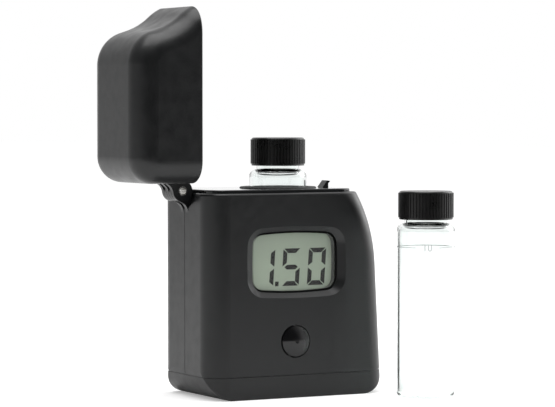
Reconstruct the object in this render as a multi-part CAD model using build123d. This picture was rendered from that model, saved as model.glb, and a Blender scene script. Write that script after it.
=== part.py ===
"""Pocket free chlorine meter with a flip lid, its sample vial in the well and a spare vial beside it.

Frame: millimetres, +Z up, origin in the middle of the flat underside of the meter's base.
The display side faces -Y and the lid's hinge is on the -X side. The lid is modelled closed and
exported open, because that is how the meter stands while a vial is in its well.
"""
from build123d import *
from functools import cache
from math import atan2, cos, radians, sin, sqrt, tan
import os

# Housing, as its front view and its plan show it. What it holds sets its width, depth and height: the
# cell's length, the well behind the display, and the button with the display over it.
base_height = 7.2           # bottom cover, up to the seam
shoulder_below_rim = 22.4   # from the rim to where the curved shoulder turns into the straight tapered side
shoulder_drop_in = 1.8      # how far the side has come in at that height
rim_drop_in = 8.6           # and at the rim
corner_radius = 7.0         # upright corners, in plan
foot_radius = 9.0           # lower corners, in the front view
foot_edge = 0.8             # small rounding around the underside
foot_trim = 0.15            # cut off the underside after its rounding, so that it stands on a crisp edge
rim_edge = 0.8              # rounding of the shells' top edge
shell_wall = 2.0
seam_groove = 0.4           # depth of the groove that makes the dark seam over the base
seam_lip = 0.22             # height of that groove in each of the two pieces
parting_groove = 0.22       # width and depth of the line between the front and rear shells

# Deck, the glossy plate that closes the housing under the lid
deck_inset = 1.7            # from the housing's side to the deck's lip
deck_proud = 1.1            # lip above the shells' rim
deck_thickness = 2.6
deck_edge = 0.4
deck_clearance = 0.1
deck_ledge = 1.5            # width and height of the ledge that carries the deck

# Hinge
axis_outside = 2.55         # hinge axis, out from the housing's side
axis_over_rim = 0.6
knuckle_radius = 3.3
knuckle_fillet = 3.5        # hollow fillet that runs from the knuckles into the wall
barrel_length = 8.0
knuckle_count = 5           # the lid has the first, third and fifth
knuckle_gap = 0.15
knuckle_relief = 0.3        # round a knuckle, to the other body's wall
knuckle_root = 0.3          # how far an ear runs on into the wall, behind the pocket's floor
pin_radius = 1.5
pin_bore_radius = 1.1
pin_fit_in_lid = 0.01
pin_fit_in_ears = 0.05
pocket_depth = 1.05         # recess in the side wall, around the hinge
pocket_half_width = 7.0
pocket_straight = 2.4       # height of its upright ends, below the rim
pocket_height = 4.3
pocket_foot_half_width = 2.9

# Lid
lid_gap = 0.3               # between the closed lid and the rim
lid_wall = 2.0
lid_back_radius = 8.0       # upper corner over the hinge
lid_front_radius = 10.6     # upper corner over the thumb scoop
lid_edge = 0.5
lid_lip_clearance = 0.35    # around the deck's lip
lid_lip_height = 1.3
lid_skirt = 4.0             # how far the lid's profile is drawn on below its rim
# Thumb scoop at the free end: it leans in from upright by these angles, joined by two arcs
tip_lean = 23.0
scoop_lean = 42.0
upper_lean = 18.0
scoop_swell_radius = 16.0
scoop_hollow_radius = 21.5
scoop_upper_rise = 2.3      # height of the straight part between the scoop and the upper corner
closed_to_open = 90.0       # degrees from shut to standing open against the stop

# Latch: a barbed hook on the deck and a rib inside the lid
hook_foot = 2.1
hook_height = 2.1
hook_width = 3.4
hook_barb = 0.65
hook_barb_height = 0.9
hook_back_lean = 0.2        # share of the foot that the top covers; the back slopes over the rest
hook_from_lip = 2.0         # from the deck's free end to the hook's upright face
catch_clearance = 0.3
catch_height = 0.7

# Sample vials. The neck is drawn without its thread, and the cap's bore goes over the thread.
vial_radius = 9.0
vial_wall = 0.75
vial_floor = 0.9
vial_foot_radius = 1.4
vial_inner_foot = 1.0
vial_height = 63.9          # with its cap
shoulder_radius = 2.2
neck_ledge = 0.1            # flat ring around the neck, inside the shoulder's rounding
neck_thread = 0.5           # depth of the thread
neck_wall = 1.3
cap_wall = 1.4              # over the thread, ribs included
cap_height = 8.8
cap_top = 1.2
cap_edge = 0.7
cap_rib_count = 54
cap_rib_depth = 0.28
cap_rib_root = 0.1          # how far the ribs' outline runs on under the cap's wall
cap_plain_band = 0.6        # smooth rings above and below the ribs
cap_over_shoulder = 1.1     # gap between the cap and the glass shoulder
cap_clearance = 0.15        # inside the cap, to the neck
liner_thickness = 1.0
liner_gap = 0.02
vial_from_far_side = 29.85
spare_x = 35.8
spare_y = -33.0

# Well, the holder that the vial stands in
well_clearance = 0.3
well_wall = 1.2
well_floor = 2.0
holder_over_cell = 1.6      # from the cell to the well's underside
collar_proud = 0.4
collar_chamfer = 0.3
collar_wall = 1.9           # of its narrower part, in the deck's hole
collar_flange = 0.9         # how far its top covers the deck around the hole
collar_fit = 0.05
light_over_floor = 16.6     # light path through the vial, over the well's floor
well_gap = 0.4              # from the circuit board to the well's tube
light_window_radius = 1.6
socket_radius = 4.2
socket_length = 6.0
socket_web = 0.5            # wall between a socket and the well
lamp_radius = 2.5
lamp_flange = 0.45
lamp_flange_thickness = 0.9
lamp_length = 4.2
filter_radius = 3.0
filter_thickness = 1.0
detector_radius = 3.0
detector_brim = 0.8
detector_brim_thickness = 0.5
optics_clearance = 0.05

# Display
window_from_vial = -2.6     # middle of the window, to the side of the vial's axis
window_width = 29.2
window_side_height = 17.6
window_crown = 0.8          # bulge of the top and bottom edges
window_bulge = 0.3          # bulge of the left and right edges
window_corner = 3.8
bezel_side = 2.4            # width of the sloping frame, left and right
bezel_top = 1.5             # and above and below
bezel_depth = 1.4
lens_thickness = 0.8
lens_clearance = 0.05
lens_bevel = 0.2
window_step = 0.6           # shelf behind the lens
window_step_depth = 2.0
panel_border_side = 2.4     # how far the panel runs on beside the window
panel_border_top = 3.2      # and over and under it
panel_to_rim = 9.4          # from the panel's upper edge to the shells' rim
panel_thickness = 1.1
panel_clearance = 0.15
frame_wall = 1.2
frame_short = 0.3           # from the frame's back edge to the panel's back
strip_short = 1.0           # at each end, to the panel's edge
strip_width = 1.8
strip_thickness = 0.5

# Circuit board and button
board_to_near_boss = 1.0    # from the board to the shells' bosses on the hinge side
board_to_far_boss = 0.4
board_below_button = 6.5
board_under_deck = 2.4
board_thickness = 0.8
post_radius = 1.9
post_inset = 2.6
post_pin_radius = 0.7
post_pin_proud = 0.3
post_clearance = 0.1
button_from_window = -0.5
button_over_base = 10.3     # from the base's seam to the button's middle
button_to_panel = 7.4       # from the button's hole up to the display panel
button_hole_radius = 5.1
button_clearance = 0.4
button_dome = 0.9
button_proud = 0.25         # rim of the button beyond the front face
button_flange = 0.7
button_flange_thickness = 0.9
button_stem_margin = 0.6    # stem around the plunger's end
button_travel = 0.5
button_play = 0.25
switch_size = 6.0
switch_height = 1.9
plunger_radius = 1.6
plunger_fit = 0.05
plunger_proud = 0.6
plunger_spare = 0.2         # left under the pressed plunger
switch_floor = 0.5

# Battery
cell_radius = 5.25
cell_length = 44.5
cell_nub_radius = 1.9
cell_nub = 0.9
cell_edge = 0.4
cell_room_near = 1.0        # from the base's wall to the contact's rib, on the hinge side
cell_room_far = 6.2
cell_clearance = 0.3
contact_thickness = 0.4
contact_width = 8.0
contact_leaf = 1.6          # how far the spring stands off its back
contact_foot = 1.4          # from the cover's floor to the contacts
contact_reach = 4.2         # contacts above the cell's axis
holder_thickness = 1.6      # ribs of the base cover that carry the contacts
holder_margin = 1.0         # rib past the contact's edge

# Base cover, seal and screws
base_wall = 2.6
base_floor = 2.0
base_inner_gap = 0.1        # from the cover's posts and ribs to the shells' underside
seal_inset = 0.8
seal_width = 1.0
seal_height = 0.9
seal_clearance = 0.05
cradle_thickness = 1.6
cradle_gap = 0.05           # around the cell
shell_screw_from_near = 5.95    # in from the hinge side
shell_screw_from_far = 10.45
shell_screw_under_deck = 4.6
boss_over_cell = 1.9        # from the cell to the shells' lower bosses
shell_boss_radius = 2.8
base_screw_inset = 11.75    # in from the sides
base_boss_radius = 2.7
base_boss_height = 3.6
base_boss_merge = 0.5       # how far the bosses run into the front and rear walls
screw_radius = 1.1
screw_clearance = 0.15
screw_head_radius = 2.0
screw_head_height = 1.5
screw_head_edge = 0.5
screw_head_sunk = 0.6
shell_screw_grip = 5.0
base_screw_grip = 3.3
screw_slot = 0.55
screw_end_gap = 0.2         # left free at the bottom of a screw's hole

profile_overrun = 3.0       # how far the housing's profile is drawn on before it is trimmed
cut_over = 1.0              # how far a cutter runs past what it cuts
cut_skin = 0.01             # the same, where a longer run would cut something else

# Levels and faces that follow from the sizes above
well_radius = vial_radius + well_clearance
tube_radius = well_radius + well_wall
display_stack = bezel_depth + lens_thickness + window_step_depth + panel_thickness + strip_thickness
contact_row = contact_leaf + 2 * contact_thickness + cell_length + 2 * holder_thickness
housing_width = cell_room_near + contact_row + cell_room_far + 2 * base_wall
housing_depth = 2 * (display_stack + board_thickness + well_gap + tube_radius)
panel_width = window_width + 2 * panel_border_side
panel_height = window_side_height + 2 * panel_border_top
button_height = base_height + button_over_base
window_height = button_height + button_hole_radius + button_to_panel + panel_height / 2
rim_height = window_height + panel_height / 2 + panel_to_rim
shoulder_height = rim_height - shoulder_below_rim
hinge_side = -housing_width / 2
far_side = housing_width / 2
front_face = -housing_depth / 2
vial_x = far_side - vial_from_far_side
window_x = vial_x + window_from_vial
button_x = window_x + button_from_window
axis_x = hinge_side - axis_outside
axis_z = rim_height + axis_over_rim
deck_level = rim_height + deck_proud
deck_underside = deck_level - deck_thickness
hook_top = deck_level + hook_height
collar_level = deck_level + collar_proud
collar_spigot = well_radius + collar_wall
collar_radius = collar_spigot + collar_flange
neck_root = vial_radius - shoulder_radius - neck_ledge
neck_radius = neck_root + neck_thread
cap_radius = neck_radius + cap_wall
lid_rim = rim_height + lid_gap
scoop_rise = (scoop_swell_radius * (sin(radians(scoop_lean)) - sin(radians(tip_lean)))
              + scoop_hollow_radius * (sin(radians(scoop_lean)) - sin(radians(upper_lean))))
lid_height = scoop_rise + scoop_upper_rise + lid_front_radius * (1 - sin(radians(upper_lean)))
lid_top = lid_rim + lid_height
rim_reach = far_side - rim_drop_in
lid_tip = rim_reach + lid_gap
lens_front = front_face + bezel_depth
lens_back = lens_front + lens_thickness
panel_front = lens_back + window_step_depth
panel_back = panel_front + panel_thickness
board_front = panel_back + strip_thickness
board_back = board_front + board_thickness
cell_z = base_floor + cell_radius + cell_clearance
spring_back = hinge_side + base_wall + cell_room_near + holder_thickness
cell_start = spring_back + contact_thickness + contact_leaf
cell_end = cell_start + cell_length
cell_x = (cell_start + cell_end) / 2
well_floor_height = cell_z + cell_radius + holder_over_cell + well_floor
light_height = well_floor_height + light_over_floor
shell_screw_x = (hinge_side + shell_screw_from_near, far_side - shell_screw_from_far)
shell_screw_z = (cell_z + cell_radius + boss_over_cell + shell_boss_radius,
                 deck_underside - shell_screw_under_deck)
board_left = shell_screw_x[0] + shell_boss_radius + board_to_near_boss
board_right = shell_screw_x[1] - shell_boss_radius - board_to_far_boss
board_bottom = button_height - board_below_button
board_top = deck_underside - board_under_deck
strip_length = panel_width - 2 * strip_short
lamp_seat = vial_x - tube_radius - socket_web
filter_seat = vial_x + tube_radius + socket_web
trim_reach = 2 * (housing_width + rim_height)


def cylinder_along(direction, radius, start, end, across, height):
    """Cylinder along X, Y or Z from start to end; across and height are its other two coordinates."""
    length = end - start
    if direction == "X":
        place = Plane(origin=(start, across, height), x_dir=(0, 1, 0), z_dir=(1, 0, 0))
    elif direction == "Y":
        place = Plane(origin=(across, start, height), x_dir=(1, 0, 0), z_dir=(0, 1, 0))
    else:
        place = Plane(origin=(across, height, start), x_dir=(1, 0, 0), z_dir=(0, 0, 1))
    return extrude(place * Circle(radius), amount=length)


def block(x_range, y_range, z_range):
    """Box between two values on each axis."""
    size = [high - low for low, high in (x_range, y_range, z_range)]
    middle = [(high + low) / 2 for low, high in (x_range, y_range, z_range)]
    return Pos(*middle) * Box(*size)


def slab(low, high):
    """Everything between two levels."""
    return block((-trim_reach, trim_reach), (-trim_reach, trim_reach), (low, high))


def half_space(side):
    """Everything in front of (-1) or behind (1) the parting plane."""
    y_range = (-trim_reach, 0) if side < 0 else (0, trim_reach)
    return block((-trim_reach, trim_reach), y_range, (-trim_reach, trim_reach))


def front_view(edges):
    """Face drawn in the front view, from edges whose points are (x, z)."""
    return Plane.XZ * make_face(edges)


def shoulder_circle():
    """Centre and radius of the shoulder arc, tangent to the straight side and meeting the rim."""
    foot = Vector(far_side, base_height)
    start = Vector(far_side - shoulder_drop_in, shoulder_height)
    end = Vector(rim_reach, rim_height)
    along = (start - foot).normalized()
    inward = Vector(-along.Y, along.X)
    chord = end - start
    radius = chord.dot(chord) / (2 * inward.dot(chord))
    return start, along, inward, start + inward * radius, radius


def housing_profile(inset):
    """Front view of the housing's sides, moved inwards by inset and drawn on past both ends."""
    low = -profile_overrun
    high = rim_height + profile_overrun
    start, along, inward, centre, radius = shoulder_circle()
    left = hinge_side + inset
    turn = start + inward * inset
    foot = turn + along * ((low - turn.Y) / along.Y)
    reduced = radius - inset
    top_x = centre.X + sqrt(reduced ** 2 - (high - centre.Y) ** 2)
    top = Vector(top_x, high)
    middle_angle = (atan2(turn.Y - centre.Y, turn.X - centre.X) + atan2(high - centre.Y, top_x - centre.X)) / 2
    middle = centre + Vector(cos(middle_angle), sin(middle_angle)) * reduced
    return front_view([
        Line((left, low), (foot.X, foot.Y)),
        Line((foot.X, foot.Y), (turn.X, turn.Y)),
        ThreePointArc((turn.X, turn.Y), (middle.X, middle.Y), (top.X, top.Y)),
        Line((top.X, top.Y), (left, high)),
        Line((left, high), (left, low)),
    ])


def upright_edges(solid, half_depth):
    """Edges of the front and rear faces that climb, which carry the big plan rounding."""
    picked = []
    for edge in solid.edges():
        on_face = abs(abs(edge.center().Y) - half_depth) < 0.001
        climbs = abs((edge @ 1 - edge @ 0).Z) > 0.5
        if on_face and climbs:
            picked.append(edge)
    return picked


@cache
def housing_column(inset):
    """The housing's sides with their rounded upright corners, longer than the housing at both ends."""
    half_depth = housing_depth / 2 - inset
    solid = extrude(housing_profile(inset), amount=half_depth, both=True)
    return fillet(upright_edges(solid, half_depth), corner_radius - inset)


def housing_block(inset, low, high):
    """Solid of the housing's outside, or of its cavity when inset is the wall, between two levels."""
    return housing_column(inset) & slab(low, high)


def rim_prism(inset, low, high):
    """Upright block with the outline of the housing at its rim, moved inwards by inset."""
    flat_faces = housing_block(inset, shoulder_height, rim_height).faces().filter_by(Axis.Z)
    outline = flat_faces.sort_by(Axis.Z)[-1]
    return extrude(Pos(0, 0, low - rim_height) * outline, amount=high - low, dir=(0, 0, 1))


def foot_cutter():
    """Front view with the two rounded lower corners, deep enough to trim the whole housing."""
    tall = rim_height * 2
    face = front_view([
        Line((hinge_side, -foot_trim), (far_side, -foot_trim)),
        Line((far_side, -foot_trim), (far_side, tall)),
        Line((far_side, tall), (hinge_side, tall)),
        Line((hinge_side, tall), (hinge_side, -foot_trim)),
    ])
    lower = face.vertices().group_by(Axis.Z)[0]
    return extrude(fillet(lower, foot_radius), amount=housing_depth, both=True)


def seam_cutter(low, high):
    """Frame-shaped slab that trims the outside all round between two levels."""
    return slab(low, high) - housing_block(seam_groove, low - cut_over, high + cut_over)


def knuckle_spans():
    """Y range of each knuckle of the barrel, front to back."""
    width = (barrel_length - (knuckle_count - 1) * knuckle_gap) / knuckle_count
    starts = [-barrel_length / 2 + index * (width + knuckle_gap) for index in range(knuckle_count)]
    return [(start, start + width) for start in starts]


def knuckle(y_range, up, wall_depth, bore):
    """One knuckle with its hollow fillet, running down (up = -1) or up (up = 1) into a wall."""
    reach = knuckle_radius + knuckle_fillet
    run = knuckle_fillet - axis_outside
    rise = sqrt(reach ** 2 - run ** 2)
    fillet_centre = Vector(hinge_side - knuckle_fillet, axis_z + up * rise)
    on_wall = Vector(hinge_side, fillet_centre.Y)
    pin_centre = Vector(axis_x, axis_z)
    on_barrel = pin_centre + (fillet_centre - pin_centre).normalized() * knuckle_radius
    halfway = ((on_wall - fillet_centre).normalized() + (on_barrel - fillet_centre).normalized()).normalized()
    on_arc = fillet_centre + halfway * knuckle_fillet
    inner_x = hinge_side + wall_depth
    shoulder_z = axis_z - axis_over_rim if up < 0 else lid_rim
    web = front_view([
        Line((axis_x, axis_z), (inner_x, shoulder_z)),
        Line((inner_x, shoulder_z), (inner_x, on_wall.Y)),
        Line((inner_x, on_wall.Y), (on_wall.X, on_wall.Y)),
        ThreePointArc((on_wall.X, on_wall.Y), (on_arc.X, on_arc.Y), (on_barrel.X, on_barrel.Y)),
        Line((on_barrel.X, on_barrel.Y), (axis_x, axis_z)),
    ])
    start, end = y_range
    body = Pos(0, start, 0) * extrude(web, amount=-(end - start))
    body += cylinder_along("Y", knuckle_radius, start, end, axis_x, axis_z)
    return body - cylinder_along("Y", bore, start - cut_over, end + cut_over, axis_x, axis_z)


def knuckle_sweep(y_range):
    """Room that one knuckle of the other body needs to turn in."""
    start, end = y_range
    radius = knuckle_radius + knuckle_relief
    return cylinder_along("Y", radius, start - knuckle_gap, end + knuckle_gap, axis_x, axis_z)


def hinge_pocket():
    """Recess in the side wall around the hinge, with its two slanting lower ends."""
    top = rim_height + cut_over
    foot = rim_height - pocket_height
    step = rim_height - pocket_straight
    outline = Polyline(
        (-pocket_half_width, top), (-pocket_half_width, step), (-pocket_foot_half_width, foot),
        (pocket_foot_half_width, foot), (pocket_half_width, step), (pocket_half_width, top), close=True)
    outside = Plane(origin=(hinge_side - cut_over, 0, 0), x_dir=(0, 1, 0), z_dir=(1, 0, 0))
    return extrude(outside * make_face(outline), amount=cut_over + pocket_depth)


def window_outline(side_grow, top_grow):
    """Barrel-shaped window face around its middle, drawn in its own plane and grown on each side."""
    half_width = window_width / 2 + side_grow
    half_height = window_side_height / 2 + top_grow
    face = make_face([
        ThreePointArc((-half_width, -half_height), (0, -half_height - window_crown), (half_width, -half_height)),
        ThreePointArc((half_width, -half_height), (half_width + window_bulge, 0), (half_width, half_height)),
        ThreePointArc((half_width, half_height), (0, half_height + window_crown), (-half_width, half_height)),
        ThreePointArc((-half_width, half_height), (-half_width - window_bulge, 0), (-half_width, -half_height)),
    ])
    return fillet(face.vertices(), window_corner + (side_grow + top_grow) / 2)


def window_at(y):
    """Plane of the window at a given depth, facing the rear."""
    return Plane(origin=(window_x, y, window_height), x_dir=(1, 0, 0), z_dir=(0, -1, 0))


def window_cutters():
    """Sloping frame, lens seat and viewing aperture of the display window."""
    wide = window_at(front_face - cut_skin) * window_outline(bezel_side, bezel_top)
    narrow = window_at(lens_front) * window_outline(0, 0)
    slope = loft([wide, narrow])
    seat = extrude(window_at(lens_back) * window_outline(0, 0), amount=lens_thickness + cut_skin)
    behind = window_at(panel_front + cut_over) * window_outline(-window_step, -window_step)
    sight = extrude(behind, amount=cut_over + window_step_depth + cut_skin)
    return slope, seat, sight


def window_lens():
    """Clear window, set into its seat from the front."""
    face = window_at(lens_back) * window_outline(-lens_clearance, -lens_clearance)
    lens = extrude(face, amount=lens_thickness)
    rim = lens.faces().sort_by(Axis.Y)[0].edges()
    return chamfer(rim, lens_bevel)


def window_boss():
    """Thick frame inside the front shell that holds the lens, the panel and its rim."""
    half_width = panel_width / 2 + panel_clearance + frame_wall
    half_height = panel_height / 2 + panel_clearance + frame_wall
    x_range = (window_x - half_width, window_x + half_width)
    z_range = (window_height - half_height, window_height + half_height)
    frame = block(x_range, (front_face + shell_wall / 2, panel_back - frame_short), z_range)
    half_width -= frame_wall
    half_height -= frame_wall
    x_range = (window_x - half_width, window_x + half_width)
    z_range = (window_height - half_height, window_height + half_height)
    return frame - block(x_range, (panel_front, panel_back + cut_over), z_range)


def board_corners():
    """Centres of the four posts that carry the circuit board."""
    xs = (board_left + post_inset, board_right - post_inset)
    zs = (board_bottom + post_inset, board_top - post_inset)
    return [(x, z) for x in xs for z in zs]


def base_screw_places():
    """Two base screws, in opposite corners."""
    from_middle = housing_depth / 2 - shell_wall - base_boss_radius + base_boss_merge
    return [(hinge_side + base_screw_inset, -from_middle), (far_side - base_screw_inset, from_middle)]


def shell_screw_places():
    """Four screws that draw the rear shell to the front shell."""
    return [(x, z) for x in shell_screw_x for z in shell_screw_z]


def shell_blank(side):
    """One half of the housing between the base seam and the rim, with its hinge ear, before details."""
    outside = housing_block(0, base_height, rim_height)
    outside = fillet(outside.faces().sort_by(Axis.Z)[-1].edges(), rim_edge)
    outside = (outside & foot_cutter()) - seam_cutter(base_height, base_height + seam_lip)
    ledge_bottom = deck_underside - deck_ledge
    above_rim = rim_height + cut_over
    shell = outside - housing_block(shell_wall, base_height - cut_over, ledge_bottom)
    shell -= housing_block(deck_inset + deck_ledge, ledge_bottom - cut_over, above_rim)
    shell -= rim_prism(deck_inset - deck_clearance, deck_underside, above_rim)
    shell -= hinge_pocket()
    skin = outside - housing_block(parting_groove, base_height - cut_over, above_rim)
    half_groove = parting_groove / 2
    shell -= skin & block((-trim_reach, trim_reach), (-half_groove, half_groove), (0, above_rim))
    spans = knuckle_spans()
    ear = spans[1] if side < 0 else spans[3]
    wall_depth = pocket_depth + knuckle_root
    half = (shell & half_space(side)) + knuckle(ear, -1, wall_depth, pin_radius + pin_fit_in_ears)
    for index in (0, 2, 4):
        half -= knuckle_sweep(spans[index])
    return half


def shell_bosses(side):
    """Screw bosses inside one shell, from its wall to the parting plane."""
    far = housing_depth / 2 - shell_wall / 2
    bosses = None
    for x, z in shell_screw_places():
        start, end = (-far, 0) if side < 0 else (0, far)
        boss = cylinder_along("Y", shell_boss_radius, start, end, x, z)
        bosses = boss if bosses is None else bosses + boss
    for x, y in base_screw_places():
        if y * side > 0:
            bosses += cylinder_along("Z", base_boss_radius, base_height, base_height + base_boss_height, x, y)
    return bosses & housing_block(shell_wall / 2, base_height, rim_height)


def front_shell():
    shell = shell_blank(-1) + shell_bosses(-1) + window_boss()
    for x, z in board_corners():
        shell += cylinder_along("Y", post_radius, front_face + shell_wall / 2, board_front, x, z)
        shell += cylinder_along("Y", post_pin_radius, board_front, board_back + post_pin_proud, x, z)
    for cutter in window_cutters():
        shell -= cutter
    shell -= cylinder_along("Y", button_hole_radius, front_face - cut_over,
                            front_face + shell_wall + cut_over, button_x, button_height)
    for x, z in shell_screw_places():
        shell -= cylinder_along("Y", screw_radius, -shell_screw_grip, cut_over, x, z)
    return shell - base_screw_holes(-1)


def base_screw_holes(side):
    """Pilot holes for the base screws in the front (-1) or rear (1) shell."""
    places = [(x, y) for x, y in base_screw_places() if y * side > 0]
    return [cylinder_along("Z", screw_radius, base_height - cut_over, base_height + base_screw_grip, x, y)
            for x, y in places]


def rear_shell():
    shell = shell_blank(1) + shell_bosses(1)
    seat = housing_depth / 2 - screw_head_sunk - screw_head_height
    for x, z in shell_screw_places():
        shell -= cylinder_along("Y", screw_radius + screw_clearance, -cut_over, seat + cut_over, x, z)
        shell -= cylinder_along("Y", screw_head_radius + screw_clearance, seat, housing_depth, x, z)
    return shell - base_screw_holes(1)


def screw(shank):
    """Self-tapping screw with a slotted pan head: the head's underside is at 0, its shank runs to -Z."""
    body = Pos(0, 0, -shank / 2) * Cylinder(screw_radius, shank)
    head = Pos(0, 0, screw_head_height / 2) * Cylinder(screw_head_radius, screw_head_height)
    head = fillet(head.edges().group_by(Axis.Z)[-1], screw_head_edge)
    slot = block((-screw_head_radius, screw_head_radius), (-screw_slot / 2, screw_slot / 2),
                 (screw_head_height - screw_slot, screw_head_height + cut_over))
    return body + (head - slot)


def housing_screws():
    """The four screws in the rear shell, heads out to the rear."""
    seat = housing_depth / 2 - screw_head_sunk - screw_head_height
    one = screw(seat + shell_screw_grip - screw_end_gap)
    turned = one.rotate(Axis.X, -90)
    return Compound(children=[Pos(x, seat, z) * turned for x, z in shell_screw_places()])


def base_screws():
    """The two screws of the bottom cover, heads down."""
    seat = screw_head_sunk + screw_head_height
    one = screw(base_height - seat + base_screw_grip - screw_end_gap).rotate(Axis.X, 180)
    return Compound(children=[Pos(x, y, seat) * one for x, y in base_screw_places()])


def base_cover():
    """Bottom cover with the cell's cradle and the groove of its seal."""
    outside = housing_block(0, -foot_trim, base_height) & foot_cutter()
    outside = fillet(outside.faces().sort_by(Axis.Z)[0].edges(), foot_edge) & slab(0, base_height)
    outside -= seam_cutter(base_height - seam_lip, base_height)
    cavity = housing_block(base_wall, base_floor, rim_height)
    rounded = Pos(0, 0, base_floor) * foot_cutter()
    cover = outside - (cavity & rounded)
    inner_top = base_height - base_inner_gap
    holder_half_width = contact_width / 2 + holder_margin
    for x, y in base_screw_places():
        post = cylinder_along("Z", base_boss_radius, base_floor / 2, inner_top, x, y)
        cover += post & housing_block(base_wall / 2, 0, base_height)
        cover -= cylinder_along("Z", screw_radius + screw_clearance, -cut_over, base_height, x, y)
        cover -= cylinder_along("Z", screw_head_radius + screw_clearance, -cut_over,
                                screw_head_sunk + screw_head_height, x, y)
    bed = cylinder_along("X", cell_radius + cradle_gap, cell_start, cell_end, 0, cell_z)
    for x in (cell_x - cell_length / 3, cell_x + cell_length / 3):
        cradle = block((x - cradle_thickness / 2, x + cradle_thickness / 2), (-cell_radius, cell_radius),
                       (base_floor / 2, cell_z))
        cover += cradle - bed
    for x in (spring_back - holder_thickness, cell_end + contact_thickness):
        holder = block((x, x + holder_thickness), (-holder_half_width, holder_half_width),
                       (base_floor / 2, inner_top))
        cover += holder & outside
    groove = housing_block(seal_inset, base_height - seal_height, rim_height)
    return cover - (groove - housing_block(seal_inset + seal_width, 0, rim_height))


def base_seal():
    """Rubber band in the groove between the bottom cover and the shells."""
    low = base_height - seal_height
    band = housing_block(seal_inset + seal_clearance, low, base_height)
    inside = housing_block(seal_inset + seal_width - seal_clearance, low - cut_over, base_height + cut_over)
    return band - inside


def deck_plate():
    """Glossy plate with its raised lip and the hole for the well's collar."""
    plate = rim_prism(deck_inset, deck_underside, deck_level)
    plate = fillet(plate.faces().sort_by(Axis.Z)[-1].edges(), deck_edge)
    hole = cylinder_along("Z", collar_spigot + collar_fit, deck_underside, deck_level + cut_over, vial_x, 0)
    return plate - hole


def well_collar():
    """Matt ring in the deck that guides the vial and shades the light path."""
    outline = Polyline(
        (well_radius, deck_underside), (collar_spigot, deck_underside), (collar_spigot, deck_level),
        (collar_radius, deck_level), (collar_radius, collar_level - collar_chamfer),
        (collar_radius - collar_chamfer, collar_level), (well_radius + 2 * collar_chamfer, collar_level),
        (well_radius, collar_level - 2 * collar_chamfer), close=True)
    return Pos(vial_x, 0, 0) * revolve(Plane.XZ * make_face(outline), Axis.Z)


def latch_hook():
    """Barbed hook that the lid's rib snaps under."""
    face_x = deck_free_end() - hook_from_lip
    top = hook_top
    outline = Polyline(
        (face_x - hook_foot, deck_level), (face_x, deck_level), (face_x, top - hook_barb_height),
        (face_x + hook_barb, top - hook_barb_height / 3), (face_x + hook_barb, top - hook_barb_height / 6),
        (face_x - hook_foot * hook_back_lean, top), close=True)
    return extrude(Plane.XZ * make_face(outline), amount=hook_width / 2, both=True)


def deck_free_end():
    """X of the deck lip's free end."""
    start, along, inward, centre, radius = shoulder_circle()
    return centre.X + sqrt((radius - deck_inset) ** 2 - (rim_height - centre.Y) ** 2)


def cuvette_holder():
    """Black tube that the vial stands in, with a lamp socket and a detector socket across it."""
    bottom = well_floor_height - well_floor
    tube = cylinder_along("Z", tube_radius, bottom, deck_underside, vial_x, 0)
    for side in (-1, 1):
        reach = vial_x + side * (tube_radius + socket_length)
        low, high = min(vial_x, reach), max(vial_x, reach)
        tube += cylinder_along("X", socket_radius, low, high, 0, light_height)
    tube -= cylinder_along("Z", well_radius, well_floor_height, deck_underside, vial_x, 0)
    tube -= cylinder_along("X", light_window_radius, lamp_seat, filter_seat, 0, light_height)
    tube -= cylinder_along("X", lamp_radius + optics_clearance, lamp_seat - socket_length, lamp_seat,
                           0, light_height)
    tube -= cylinder_along("X", filter_radius + optics_clearance, filter_seat, filter_seat + socket_length,
                           0, light_height)
    return tube


def lamp():
    """Light-emitting diode, its dome towards the vial."""
    back = lamp_seat - lamp_length - lamp_radius
    flange_end = back + lamp_flange_thickness
    dome_start = lamp_seat - lamp_radius
    flange_radius = lamp_radius + lamp_flange
    slant = lamp_radius * sin(radians(45))
    outline = Plane.XZ * make_face([
        Line((back, 0), (back, flange_radius)),
        Line((back, flange_radius), (flange_end, flange_radius)),
        Line((flange_end, flange_radius), (flange_end, lamp_radius)),
        Line((flange_end, lamp_radius), (dome_start, lamp_radius)),
        ThreePointArc((dome_start, lamp_radius), (dome_start + slant, slant), (lamp_seat, 0)),
        Line((lamp_seat, 0), (back, 0)),
    ])
    return Pos(0, 0, light_height) * revolve(outline, Axis.X)


def optical_filter():
    """Coloured glass disc in front of the detector."""
    return cylinder_along("X", filter_radius, filter_seat, filter_seat + filter_thickness, 0, light_height)


def detector():
    """Photocell can behind the filter."""
    start = filter_seat + filter_thickness
    brim_start = vial_x + tube_radius + socket_length
    brim_end = brim_start + detector_brim_thickness
    can = cylinder_along("X", detector_radius, start, brim_end, 0, light_height)
    return can + cylinder_along("X", detector_radius + detector_brim, brim_start, brim_end, 0, light_height)


def display_panel():
    """Glass sandwich of the liquid crystal display."""
    x_range = (window_x - panel_width / 2, window_x + panel_width / 2)
    z_range = (window_height - panel_height / 2, window_height + panel_height / 2)
    return block(x_range, (panel_front, panel_back), z_range)


def contact_strips():
    """Two rubber strips that join the panel to the board."""
    strips = []
    for side in (-1, 1):
        middle = window_height + side * (panel_height / 2 - strip_width)
        strips.append(block((window_x - strip_length / 2, window_x + strip_length / 2),
                            (panel_back, board_front), (middle - strip_width / 2, middle + strip_width / 2)))
    return Compound(children=strips)


def circuit_board():
    board = block((board_left, board_right), (board_front, board_back), (board_bottom, board_top))
    for x, z in board_corners():
        board -= cylinder_along("Y", post_pin_radius + post_clearance, board_front, board_back, x, z)
    return board


def switch_front():
    return board_front - switch_height


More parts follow.
